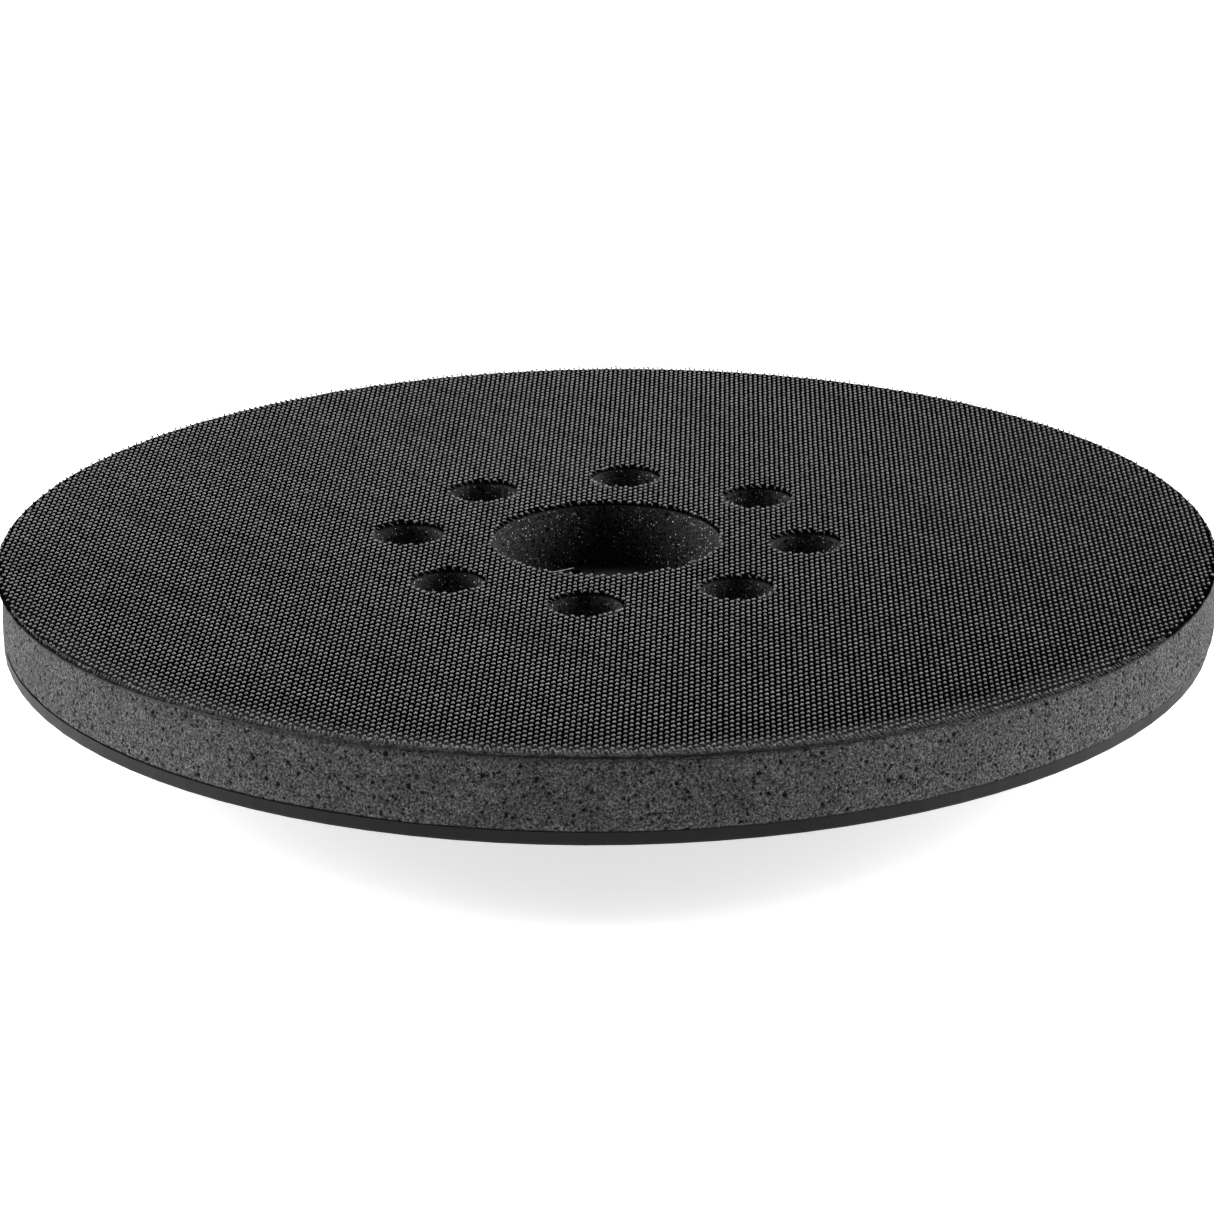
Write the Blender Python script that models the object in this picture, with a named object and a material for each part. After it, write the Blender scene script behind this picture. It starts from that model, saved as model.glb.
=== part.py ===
"""Soft backing pad of a long-reach orbital sander, lying with its hook face up.

The pad is a bonded sandwich: a hook facing on a foam disc on a ribbed moulded plate.
A steel drive hub is screwed into the plate's centre, and one central screw with two
washers, reached through the big hole in the foam, holds the pad on its machine.

Frame: the origin is on the pad's axis, on the rear seat of the hub. +Z points to the
hook face, and one dust hole lies on +X. Units are metres.
"""

import math

import bmesh
import bpy

MM = 0.001

# The bonded disc
FACING_DIAMETER = 225.0 * MM
FACING_THICKNESS = 1.2 * MM
FOAM_THICKNESS = 11.5 * MM
PLATE_THICKNESS = 2.5 * MM
REAR_DEPTH = 16.0 * MM  # from the plate's underside down to the hub's rear seat
FOAM_FOOT_INSET = 0.4 * MM  # from the facing's edge in to the foam's foot
FOAM_TOP_INSET = 1.3 * MM  # from the facing's edge in to the foam's top
PLATE_INSET = 0.8 * MM  # from the facing's edge in to the plate's edge
PLATE_EDGE_RADIUS = 0.6 * MM

# The holes through the disc
CENTRE_HOLE_DIAMETER = 42.6 * MM
DUST_HOLE_DIAMETER = 13.25 * MM
DUST_RING_DIAMETER = 74.2 * MM
DUST_HOLE_COUNT = 8

# The plate's rear side
CHAMBER_MARGIN = 1.1 * MM  # between a dust hole and the walls beside it
WALL_THICKNESS = 2.4 * MM
WALL_DEPTH = 4.0 * MM
RIB_THICKNESS = 1.8 * MM
RIB_ROOT_DEPTH = 3.9 * MM  # how deep a rib is at the boss
RIB_TIP_DEPTH = 2.0 * MM
RIB_END_MARGIN = 8.0 * MM  # from a rib's outer end to the plate's edge
RIB_SINK = 1.0 * MM  # how far a rib reaches into what it is moulded to

# The fixing screw and its washers
SCREW_DIAMETER = 7.8 * MM
SCREW_LENGTH = 16.0 * MM
SCREW_TIP_CHAMFER = 0.9 * MM
HEAD_DIAMETER = 13.0 * MM
HEAD_HEIGHT = 5.0 * MM
HEAD_CHAMFER = 0.5 * MM
HEX_KEY = 5.0 * MM  # across flats
HEX_KEY_DEPTH = 3.0 * MM
WASHER_RIM = 3.3 * MM  # width of a washer's ring
CLAMP_WASHER_THICKNESS = 1.6 * MM
LOCK_WASHER_THICKNESS = 2.0 * MM
LOCK_WASHER_SPLIT = 1.2 * MM
WASHER_CLEARANCE = 0.3 * MM  # between a washer's bore and the shank

# The drive hub
FLANGE_CLEARANCE = 3.3 * MM  # from the hub's flange to the foam around it
FLANGE_THICKNESS = 1.6 * MM
FLANGE_EDGE_RADIUS = 0.5 * MM
CUP_DEPTH = 8.4 * MM
CUP_CLEARANCE = 0.6 * MM  # around the washers
HUB_WALL = 1.8 * MM
HUB_WEB = 3.0 * MM  # the floor that the fixing screw clamps
SCREW_HOLE_CLEARANCE = 0.4 * MM
SOCKET_FLATS = 14.0 * MM  # the hexagon that takes the machine's spindle

# The screws that hold the hub in the plate
HUB_SCREW_COUNT = 6
HUB_SCREW_DIAMETER = 3.5 * MM
HUB_SCREW_HEAD = 6.4 * MM
HUB_SCREW_HEAD_DEPTH = 1.4 * MM
HUB_SCREW_LENGTH = 12.0 * MM
HUB_SCREW_POINT = 2.0 * MM
HUB_SCREW_KEY = 2.4 * MM  # across the lobes of the six-lobe drive
HUB_SCREW_KEY_WAIST = 1.75 * MM  # across the hollows between them
HUB_SCREW_KEY_DEPTH = 0.9 * MM

# Clearances
SEAT_GAP = 0.3 * MM  # between pieces that are bonded, screwed down or resting
SIDE_GAP = 0.3 * MM  # between a bore and what stands in it
CUT_OVERRUN = 2.0 * MM  # how far a cutter passes the face that it opens

# How many sides each round has
RIM_SIDES = 96
HOLE_SIDES = 24
CENTRE_SIDES = 48
HUB_SIDES = 36
SMALL_SIDES = 12
FOAM_EDGE_STEPS = 4
ROUND_STEPS = 2

# Heights, worked up from the rear seat
PLATE_BOTTOM = REAR_DEPTH
PLATE_TOP = PLATE_BOTTOM + PLATE_THICKNESS
FOAM_BOTTOM = PLATE_TOP + SEAT_GAP
FOAM_TOP = FOAM_BOTTOM + FOAM_THICKNESS
FACING_BOTTOM = FOAM_TOP + SEAT_GAP
FACING_TOP = FACING_BOTTOM + FACING_THICKNESS
FLANGE_BOTTOM = PLATE_TOP + SEAT_GAP
FLANGE_TOP = FLANGE_BOTTOM + FLANGE_THICKNESS
CUP_FLOOR = FLANGE_TOP - CUP_DEPTH
SOCKET_TOP = CUP_FLOOR - HUB_WEB
CLAMP_WASHER_BOTTOM = CUP_FLOOR + SEAT_GAP
LOCK_WASHER_BOTTOM = CLAMP_WASHER_BOTTOM + CLAMP_WASHER_THICKNESS + SEAT_GAP
HEAD_BOTTOM = LOCK_WASHER_BOTTOM + LOCK_WASHER_THICKNESS + SEAT_GAP

# Radii, worked out from the sizes above
FACING_RADIUS = FACING_DIAMETER / 2
PLATE_RADIUS = FACING_RADIUS - PLATE_INSET
CENTRE_HOLE_RADIUS = CENTRE_HOLE_DIAMETER / 2
DUST_HOLE_RADIUS = DUST_HOLE_DIAMETER / 2
DUST_RING_RADIUS = DUST_RING_DIAMETER / 2
FLANGE_RADIUS = CENTRE_HOLE_RADIUS - FLANGE_CLEARANCE
SHANK_RADIUS = SCREW_DIAMETER / 2
WASHER_BORE = SHANK_RADIUS + WASHER_CLEARANCE
WASHER_RADIUS = WASHER_BORE + WASHER_RIM
CUP_RADIUS = WASHER_RADIUS + CUP_CLEARANCE
SOCKET_CORNER = SOCKET_FLATS / 2 / math.cos(math.pi / 6)
HUB_RADIUS = max(CUP_RADIUS, SOCKET_CORNER) + HUB_WALL
HUB_SCREW_RING = (HUB_RADIUS + FLANGE_RADIUS) / 2
INNER_WALL = DUST_RING_RADIUS - DUST_HOLE_RADIUS - CHAMBER_MARGIN
OUTER_WALL = DUST_RING_RADIUS + DUST_HOLE_RADIUS + CHAMBER_MARGIN
RIB_END = PLATE_RADIUS - RIB_END_MARGIN


def clear_scene():
    """Take every object out of the open scene."""
    for item in list(bpy.data.objects):
        bpy.data.objects.remove(item, do_unlink=True)


def material(name, colour, roughness, metallic=0.0):
    """A plain Principled finish."""
    made = bpy.data.materials.new(name)
    made.use_nodes = True
    shader = made.node_tree.nodes["Principled BSDF"]
    shader.inputs["Base Color"].default_value = (*colour, 1.0)
    shader.inputs["Roughness"].default_value = roughness
    shader.inputs["Metallic"].default_value = metallic
    return made


def add_object(name, mesh_data, parent=None, origin=0.0, finish=None):
    """Put a bmesh into the scene with its origin on the axis at the height origin."""
    bmesh.ops.translate(mesh_data, vec=(0, 0, -origin), verts=mesh_data.verts)
    bmesh.ops.recalc_face_normals(mesh_data, faces=mesh_data.faces)
    mesh = bpy.data.meshes.new(name)
    mesh_data.to_mesh(mesh)
    mesh_data.free()
    made = bpy.data.objects.new(name, mesh)
    bpy.context.collection.objects.link(made)
    made.location = (0, 0, origin)
    made.parent = parent
    if finish:
        mesh.materials.append(finish)
        mesh.shade_smooth()
        mesh.set_sharp_from_angle(angle=math.radians(30))
    return made


def add_cutter(name, mesh_data):
    """A guide object for a Boolean, left out of the part."""
    made = add_object(name, mesh_data)
    made.hide_render = True
    made.display_type = "WIRE"
    return made


def boolean(target, guide, operation="DIFFERENCE"):
    """Cut a guide out of a piece, or join it on."""
    step = target.modifiers.new(guide.name, "BOOLEAN")
    step.object = guide
    step.operation = operation
    step.solver = "EXACT"


def empty(name, height=0.0):
    """An empty on the axis, which carries the pieces that move together."""
    made = bpy.data.objects.new(name, None)
    bpy.context.collection.objects.link(made)
    made.location = (0, 0, height)
    return made


def on_ring(radius, count, start=0.0):
    """Points spaced evenly round a circle, as (angle, x, y)."""
    for index in range(count):
        angle = start + 2 * math.pi * index / count
        yield angle, radius * math.cos(angle), radius * math.sin(angle)


def rounded_corner(corner, radius, first_angle, last_angle):
    """Profile points of a quarter round whose centre is given as (radius, height)."""
    span = last_angle - first_angle
    return [
        (
            corner[0] + radius * math.cos(math.radians(first_angle + span * step / ROUND_STEPS)),
            corner[1] + radius * math.sin(math.radians(first_angle + span * step / ROUND_STEPS)),
        )
        for step in range(ROUND_STEPS + 1)
    ]


def turned(profile, sides, ring=True):
    """Turn (radius, height) points about Z. A ring's profile closes on itself."""
    bm = bmesh.new()
    verts = [bm.verts.new((radius, 0, height)) for radius, height in profile]
    edges = [bm.edges.new(pair) for pair in zip(verts, verts[1:])]
    if ring:
        edges.append(bm.edges.new((verts[-1], verts[0])))
    bmesh.ops.spin(
        bm,
        geom=verts + edges,
        cent=(0, 0, 0),
        axis=(0, 0, 1),
        angle=2 * math.pi,
        steps=sides,
        use_merge=True,
    )
    bmesh.ops.remove_doubles(bm, verts=bm.verts, dist=0.001 * MM)
    return bm


def add_prism(bm, outline, bottom, top):
    """Add an upright prism over a flat outline of (x, y) points."""
    low = [bm.verts.new((x, y, bottom)) for x, y in outline]
    high = [bm.verts.new((x, y, top)) for x, y in outline]
    bm.faces.new(list(reversed(low)))
    bm.faces.new(high)
    for index, start in enumerate(low):
        after = (index + 1) % len(low)
        bm.faces.new((start, low[after], high[after], high[index]))


def polygon(radius, sides, centre=(0.0, 0.0), start=0.0):
    """The corners of a regular polygon."""
    return [(centre[0] + x, centre[1] + y) for _, x, y in on_ring(radius, sides, start)]


def hexagon(across_flats):
    """A hexagon with two of its flats facing -X and +X."""
    return polygon(across_flats / 2 / math.cos(math.pi / 6), 6, start=math.pi / 6)


def dust_hole_cutter():
    """The ring of dust holes, through the whole disc.

    Their sides are turned by half a step, so that no corner meets a radial edge of the disc.
    """
    bm = bmesh.new()
    for _, x, y in on_ring(DUST_RING_RADIUS, DUST_HOLE_COUNT):
        outline = polygon(DUST_HOLE_RADIUS, HOLE_SIDES, (x, y), math.pi / HOLE_SIDES)
        add_prism(bm, outline, PLATE_BOTTOM - CUT_OVERRUN, FACING_TOP + CUT_OVERRUN)
    return add_cutter("dust_hole_cutter", bm)


def hook_facing(dust_holes, parent):
    """The hook tape, as the closed envelope of its backing and hooks."""
    profile = [
        (FACING_RADIUS, FACING_TOP),
        (FACING_RADIUS, FACING_BOTTOM),
        (CENTRE_HOLE_RADIUS, FACING_BOTTOM),
        (CENTRE_HOLE_RADIUS, FACING_TOP),
    ]
    finish = material("hook_tape", (0.035, 0.037, 0.036), 0.6)
    made = add_object("hook_facing", turned(profile, RIM_SIDES), parent, FACING_BOTTOM, finish)
    boolean(made, dust_holes)


def foam_body(dust_holes, parent):
    """The foam disc, wider at its foot than under the facing."""
    foot = FACING_RADIUS - FOAM_FOOT_INSET
    drawn_in = FOAM_TOP_INSET - FOAM_FOOT_INSET
    edge = [
        (
            foot - drawn_in * (step / FOAM_EDGE_STEPS) ** 2,
            FOAM_BOTTOM + FOAM_THICKNESS * step / FOAM_EDGE_STEPS,
        )
        for step in range(FOAM_EDGE_STEPS, -1, -1)
    ]
    profile = edge + [(CENTRE_HOLE_RADIUS, FOAM_BOTTOM), (CENTRE_HOLE_RADIUS, FOAM_TOP)]
    finish = material("charcoal_foam", (0.075, 0.077, 0.078), 0.9)
    made = add_object("foam_body", turned(profile, RIM_SIDES), parent, FOAM_BOTTOM, finish)
    boolean(made, dust_holes)


def rib_guide():
    """Tapered radial ribs: long ones between the dust holes, short ones behind them."""
    bm = bmesh.new()
    slope = (RIB_ROOT_DEPTH - RIB_TIP_DEPTH) / (RIB_END - FLANGE_RADIUS)
    half_step = math.pi / DUST_HOLE_COUNT
    runs = [(FLANGE_RADIUS, half_step), (OUTER_WALL + WALL_THICKNESS, 0.0)]
    for inner, start in runs:
        root = inner - RIB_SINK
        root_depth = RIB_ROOT_DEPTH - slope * (root - FLANGE_RADIUS)
        stations = [(root, root_depth), (RIB_END, RIB_TIP_DEPTH)]
        for angle, along_x, along_y in on_ring(1.0, DUST_HOLE_COUNT, start):
            corners = []
            for radius, depth in stations:
                for side in (-RIB_THICKNESS / 2, RIB_THICKNESS / 2):
                    x = radius * along_x - side * along_y
                    y = radius * along_y + side * along_x
                    corners.append(bm.verts.new((x, y, PLATE_BOTTOM - depth)))
                    corners.append(bm.verts.new((x, y, PLATE_BOTTOM + RIB_SINK)))
            bmesh.ops.convex_hull(bm, input=corners)
    return add_cutter("rib_guide", bm)


def hub_screw_hole_cutter():
    """Blind holes in the plate's boss for the screws that hold the hub."""
    bm = bmesh.new()
    floor = FLANGE_TOP - HUB_SCREW_LENGTH - SIDE_GAP
    for _, x, y in on_ring(HUB_SCREW_RING, HUB_SCREW_COUNT):
        outline = polygon(HUB_SCREW_DIAMETER / 2 + SIDE_GAP, SMALL_SIDES, (x, y))
        add_prism(bm, outline, floor, PLATE_TOP + CUT_OVERRUN)
    return add_cutter("hub_screw_hole_cutter", bm)


def backing_plate(dust_holes, parent):
    """The moulded plate with its boss, two round walls and radial ribs on the rear."""
    bore = HUB_RADIUS + SIDE_GAP
    inner_wall_foot = INNER_WALL - WALL_THICKNESS
    outer_wall_foot = OUTER_WALL + WALL_THICKNESS
    wall_end = PLATE_BOTTOM - WALL_DEPTH
    edge_centre = (PLATE_RADIUS - PLATE_EDGE_RADIUS, PLATE_BOTTOM + PLATE_EDGE_RADIUS)
    profile = [(bore, PLATE_TOP), (PLATE_RADIUS, PLATE_TOP)]
    profile += rounded_corner(edge_centre, PLATE_EDGE_RADIUS, 0, -90)
    profile += [
        (outer_wall_foot, PLATE_BOTTOM),
        (outer_wall_foot, wall_end),
        (OUTER_WALL, wall_end),
        (OUTER_WALL, PLATE_BOTTOM),
        (INNER_WALL, PLATE_BOTTOM),
        (INNER_WALL, wall_end),
        (inner_wall_foot, wall_end),
        (inner_wall_foot, PLATE_BOTTOM),
        (FLANGE_RADIUS, PLATE_BOTTOM),
        (FLANGE_RADIUS, 0),
        (bore, 0),
    ]
    finish = material("moulded_nylon", (0.03, 0.03, 0.031), 0.45)
    made = add_object("backing_plate", turned(profile, RIM_SIDES), parent, PLATE_TOP, finish)
    boolean(made, rib_guide(), "UNION")
    boolean(made, dust_holes)
    boolean(made, hub_screw_hole_cutter())


def drive_hub(parent):
    """The steel hub: a flange, a cup for the fixing screw and a hexagon socket behind."""
    shank_hole = SHANK_RADIUS + SCREW_HOLE_CLEARANCE
    edge_centre = (FLANGE_RADIUS - FLANGE_EDGE_RADIUS, FLANGE_TOP - FLANGE_EDGE_RADIUS)
    profile = [(shank_hole, CUP_FLOOR), (CUP_RADIUS, CUP_FLOOR), (CUP_RADIUS, FLANGE_TOP)]
    profile += rounded_corner(edge_centre, FLANGE_EDGE_RADIUS, 90, 0)
    profile += [
        (FLANGE_RADIUS, FLANGE_BOTTOM),
        (HUB_RADIUS, FLANGE_BOTTOM),
        (HUB_RADIUS, 0),
        (shank_hole, 0),
    ]
    finish = material("black_steel", (0.06, 0.06, 0.062), 0.4, 1.0)
    made = add_object("drive_hub", turned(profile, HUB_SIDES), parent, FLANGE_BOTTOM, finish)
    socket = bmesh.new()
    add_prism(socket, hexagon(SOCKET_FLATS), -CUT_OVERRUN, SOCKET_TOP)
    boolean(made, add_cutter("socket_cutter", socket))
    seats = bmesh.new()
    for _, x, y in on_ring(HUB_SCREW_RING, HUB_SCREW_COUNT):
        seat = turned(countersink_profile(), SMALL_SIDES, ring=False)
        bmesh.ops.translate(seat, vec=(x, y, 0), verts=seat.verts)
        copy = bpy.data.meshes.new("countersink")
        seat.to_mesh(copy)
        seat.free()
        seats.from_mesh(copy)
        bpy.data.meshes.remove(copy)
    boolean(made, add_cutter("countersink_cutter", seats))


def countersink_profile():
    """A screw's hole through the flange, opening to a cone that clears its head."""
    hole = HUB_SCREW_DIAMETER / 2 + SIDE_GAP
    mouth = HUB_SCREW_HEAD / 2 + SIDE_GAP
    return [
        (0, FLANGE_TOP + CUT_OVERRUN),
        (mouth, FLANGE_TOP + CUT_OVERRUN),
        (mouth, FLANGE_TOP),
        (hole, FLANGE_TOP - HUB_SCREW_HEAD_DEPTH),
        (hole, FLANGE_BOTTOM - CUT_OVERRUN),
        (0, FLANGE_BOTTOM - CUT_OVERRUN),
    ]


def hub_screws(parent):
    """Countersunk screws through the flange into the plate's boss."""
    shank = HUB_SCREW_DIAMETER / 2
    profile = [
        (0, 0),
        (HUB_SCREW_HEAD / 2, 0),
        (shank, -HUB_SCREW_HEAD_DEPTH),
        (shank, HUB_SCREW_POINT - HUB_SCREW_LENGTH),
        (0, -HUB_SCREW_LENGTH),
    ]
    finish = material("black_screw", (0.06, 0.06, 0.062), 0.35, 1.0)
    key = bmesh.new()
    lobes = polygon(HUB_SCREW_KEY / 2, 12)
    waist = HUB_SCREW_KEY_WAIST / HUB_SCREW_KEY
    outline = []
    for index, (x, y) in enumerate(lobes):
        reach = 1.0 if index % 2 else waist
        outline.append((x * reach, y * reach))
    add_prism(key, outline, -HUB_SCREW_KEY_DEPTH, CUT_OVERRUN)
    key_cutter = add_cutter("hub_screw_key_cutter", key)
    for index, (angle, x, y) in enumerate(on_ring(HUB_SCREW_RING, HUB_SCREW_COUNT)):
        solid = turned(profile, SMALL_SIDES, ring=False)
        screw = add_object(f"hub_screw_{index + 1}", solid, parent, 0.0, finish)
        cutter = key_cutter.copy()
        cutter.name = f"hub_screw_key_cutter_{index + 1}"
        bpy.context.collection.objects.link(cutter)
        for item in (screw, cutter):
            item.location = (x, y, FLANGE_TOP)
            item.rotation_euler.z = angle
        boolean(screw, cutter)
    bpy.data.objects.remove(key_cutter, do_unlink=True)


def clamp_washer(parent):
    """The flat washer on the cup's floor."""
    top = CLAMP_WASHER_BOTTOM + CLAMP_WASHER_THICKNESS
    profile = [
        (WASHER_BORE, top),
        (WASHER_RADIUS, top),
        (WASHER_RADIUS, CLAMP_WASHER_BOTTOM),
        (WASHER_BORE, CLAMP_WASHER_BOTTOM),
    ]
    finish = material("zinc_washer", (0.5, 0.5, 0.51), 0.35, 1.0)
    solid = turned(profile, HOLE_SIDES)
    add_object("clamp_washer", solid, parent, CLAMP_WASHER_BOTTOM, finish).location.z = 0


def lock_washer(parent):
    """The spring washer under the screw's head, open at its split."""
    top = LOCK_WASHER_BOTTOM + LOCK_WASHER_THICKNESS
    radius = HEAD_DIAMETER / 2
    profile = [
        (WASHER_BORE, top),
        (radius, top),
        (radius, LOCK_WASHER_BOTTOM),
        (WASHER_BORE, LOCK_WASHER_BOTTOM),
    ]
    finish = material("spring_steel", (0.35, 0.35, 0.36), 0.35, 1.0)
    solid = turned(profile, HOLE_SIDES)
    made = add_object("lock_washer", solid, parent, CLAMP_WASHER_BOTTOM, finish)
    made.location.z = 0
    split = bmesh.new()
    half = LOCK_WASHER_SPLIT / 2
    outline = [(0, -half), (radius * 2, -half), (radius * 2, half), (0, half)]
    add_prism(split, outline, LOCK_WASHER_BOTTOM - CUT_OVERRUN, top + CUT_OVERRUN)
    boolean(made, add_cutter("split_cutter", split))


def fixing_screw(parent):
    """The central cap screw, whose shank reaches down into the spindle socket."""
    head = HEAD_DIAMETER / 2
    head_top = HEAD_BOTTOM + HEAD_HEIGHT
    tip = HEAD_BOTTOM - SCREW_LENGTH
    profile = [
        (0, head_top),
        (head - HEAD_CHAMFER, head_top),
        (head, head_top - HEAD_CHAMFER),
        (head, HEAD_BOTTOM),
        (SHANK_RADIUS, HEAD_BOTTOM),
        (SHANK_RADIUS, tip + SCREW_TIP_CHAMFER),
        (SHANK_RADIUS - SCREW_TIP_CHAMFER, tip),
        (0, tip),
    ]
    finish = material("zinc_cap_screw", (0.5, 0.5, 0.51), 0.3, 1.0)
    solid = turned(profile, HOLE_SIDES, ring=False)
    made = add_object("fixing_screw", solid, parent, HEAD_BOTTOM, finish)
    made.location.z = HEAD_BOTTOM - CLAMP_WASHER_BOTTOM
    key = bmesh.new()
    add_prism(key, hexagon(HEX_KEY), head_top - HEX_KEY_DEPTH, head_top + CUT_OVERRUN)
    boolean(made, add_cutter("hex_key_cutter", key))


def main():
    """Build the pad."""
    clear_scene()
    pad = empty("pad_axis")
    stack = empty("screw_axis", CLAMP_WASHER_BOTTOM)
    dust_holes = dust_hole_cutter()
    hook_facing(dust_holes, pad)
    foam_body(dust_holes, pad)
    backing_plate(dust_holes, pad)
    drive_hub(pad)
    hub_screws(pad)
    clamp_washer(stack)
    lock_washer(stack)
    fixing_screw(stack)


main()
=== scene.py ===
"""Looks of a long-reach sander's soft backing pad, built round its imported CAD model.

The pad lies hook face up: a woven backing carries about 19,000 cut hooks, a disc of
open-cell foam lies under it, and a ribbed moulded plate with a screwed-in steel hub is
at the bottom. Sizes are in metres unless a name says otherwise.
"""

import logging
import math
from collections.abc import Callable, Iterable, Sequence
from dataclasses import dataclass, field
from enum import Enum

import bmesh
import bpy
from mathutils import Matrix, Vector


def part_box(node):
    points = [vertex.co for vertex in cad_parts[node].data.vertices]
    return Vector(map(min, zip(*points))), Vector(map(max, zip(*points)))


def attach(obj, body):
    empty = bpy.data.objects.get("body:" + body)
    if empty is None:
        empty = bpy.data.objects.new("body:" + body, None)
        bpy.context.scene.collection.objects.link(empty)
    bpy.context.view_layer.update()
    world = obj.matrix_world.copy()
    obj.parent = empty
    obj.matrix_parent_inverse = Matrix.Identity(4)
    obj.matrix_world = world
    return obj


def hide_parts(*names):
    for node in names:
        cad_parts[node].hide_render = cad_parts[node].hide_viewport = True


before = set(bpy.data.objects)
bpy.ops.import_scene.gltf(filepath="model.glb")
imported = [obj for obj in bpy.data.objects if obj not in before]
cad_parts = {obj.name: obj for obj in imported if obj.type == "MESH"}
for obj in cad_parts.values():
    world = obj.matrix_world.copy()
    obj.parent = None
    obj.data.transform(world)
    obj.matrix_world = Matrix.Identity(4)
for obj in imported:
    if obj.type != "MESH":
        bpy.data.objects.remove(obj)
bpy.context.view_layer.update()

log = logging.getLogger("backing_pad")
MM = 0.001
SHARP_EDGE = math.radians(35.0)  # an edge sharper than this stays sharp
HUB_SCREW_COUNT = 6
Colour = tuple[float, float, float]
Point2 = tuple[float, float]
RadiusAt = Callable[[float], float]  # a radius that changes with an angle or a height


class Body(str, Enum):
    """The bodies that the pieces made here ride on."""

    PAD = "pad"
    SCREW = "screw"


class Slot(str, Enum):
    """The record's material slots that their finishes belong to."""

    HOOKS = "hook_tape"
    FOAM = "foam"
    ZINC = "zinc_steel"


# --------------------------------------------------------------------- node graphs


def math_node(operation: str, reflected: bool = False) -> Callable[..., "Value"]:
    """Make a method of Value that adds one Math node.

    Args:
        operation: What the node works out.
        reflected: Whether the value is the last operand and not the first.

    Returns:
        The method, which takes the other operands.
    """

    def method(self: "Value", *others: "Value | float") -> "Value":
        """The Math node's output."""
        operands = (*others, self) if reflected else (self, *others)
        return self.graph.add("ShaderNodeMath", {"operation": operation}, dict(enumerate(operands)))

    return method


class Value:
    """A socket of a node tree on which Python's operators add Math nodes."""

    def __init__(self, graph: "Graph", socket: bpy.types.NodeSocket) -> None:
        """Wrap a socket.

        Args:
            graph: The graph that the socket belongs to.
            socket: An output socket.
        """
        self.graph = graph
        self.socket = socket

    __add__ = math_node("ADD")
    __radd__ = math_node("ADD", reflected=True)
    __sub__ = math_node("SUBTRACT")
    __rsub__ = math_node("SUBTRACT", reflected=True)
    __mul__ = math_node("MULTIPLY")
    __rmul__ = math_node("MULTIPLY", reflected=True)
    __truediv__ = math_node("DIVIDE")
    __mod__ = math_node("FLOORED_MODULO")  # never negative
    above = math_node("GREATER_THAN")  # 1 where this is greater than the other, and 0 elsewhere
    most = math_node("MAXIMUM")
    least = math_node("MINIMUM")
    floor = math_node("FLOOR")
    root = math_node("SQRT")
    sine = math_node("SINE")  # of an angle in radians
    cosine = math_node("COSINE")
    angle_from = math_node("ARCTAN2")  # the angle whose tangent is this over the other

    def step(
        self, start: "Value | float", end: "Value | float", low: float = 0.0, high: float = 1.0
    ) -> "Value":
        """Pass smoothly from low to high as this goes from start to end.

        Args:
            start: Where the passage begins.
            end: Where it ends.
            low: The value before it.
            high: The value after it.
        """
        return self.graph.add(
            "ShaderNodeMapRange",
            {"interpolation_type": "SMOOTHSTEP"},
            {"Value": self, "From Min": start, "From Max": end, "To Min": low, "To Max": high},
        )


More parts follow.
